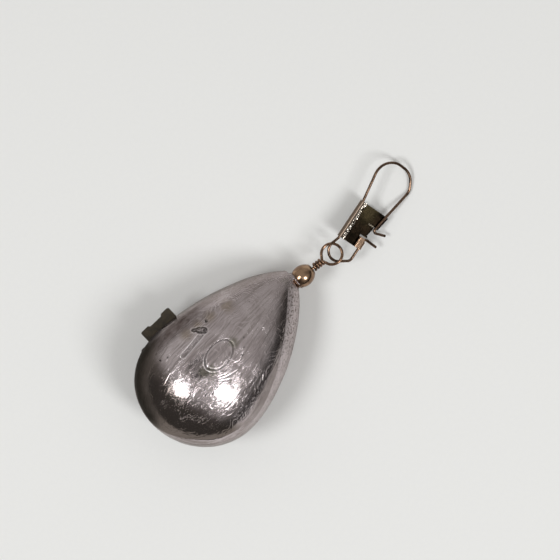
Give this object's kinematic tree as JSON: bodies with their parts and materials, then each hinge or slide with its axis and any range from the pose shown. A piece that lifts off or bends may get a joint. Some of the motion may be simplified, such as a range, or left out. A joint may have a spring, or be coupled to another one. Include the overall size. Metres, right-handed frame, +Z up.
{
  "type": "fishing sinker",
  "caption": "Clip-on teardrop fishing sinker: cast lead weight with a brass barrel swivel in its tip and a wire interlock snap",
  "frame": {"origin": "on the flat that the weight lies on, below the middle of the weight's widest section", "axes": "+X from the weight's belly to its tip and the snap, +Z up, away from the surface it lies on, +Y to the side tab's side"},
  "size_m": [0.0939, 0.0387, 0.0279],
  "materials": {
    "lead": "dull cast lead, brushed, with bright worn patches",
    "dark_metal": "matt brown-black",
    "brass": "polished, slightly browned",
    "bronze_wire": "bronze, polished wire",
    "snap_wire": "bronze-black plated wire",
    "clasp_sheet": "bronze-black plated sheet"
  },
  "bodies": {
    "weight": {"lead_body": "lead", "side_tab": "dark_metal", "swivel_barrel": "brass", "anchor_eye": "bronze_wire"},
    "swivel": {"swivel_eye": "bronze_wire"},
    "link": {"snap_link": "snap_wire"},
    "clasp": {"snap_clasp": "clasp_sheet"},
    "bow": {"snap_bow": "snap_wire"}
  },
  "joints": [
    {"name": "swivel_turn", "type": "hinge", "parent": "weight", "child": "swivel", "pos_m": [0.03703, -0.0018, 0.00882], "axis": [0.9677, -0.2164, -0.1291], "continuous": true},
    {"name": "link_swing", "type": "hinge", "parent": "swivel", "child": "link", "pos_m": [0.04628, -0.00387, 0.00759], "axis": [0.1323, 0, 0.9912], "range_deg": [-90, 90]},
    {"name": "clasp_turn", "type": "hinge", "parent": "link", "child": "clasp", "pos_m": [0.05666, -0.00176, 0.00691], "axis": [-0.9846, -0.1149, 0.1314], "range_deg": [0, 60]},
    {"name": "bow_gate", "type": "hinge", "parent": "clasp", "child": "bow", "pos_m": [0.05666, -0.00176, 0.00691], "axis": [-0.9846, -0.1149, 0.1314], "range_deg": [0, 60]}
  ]
}
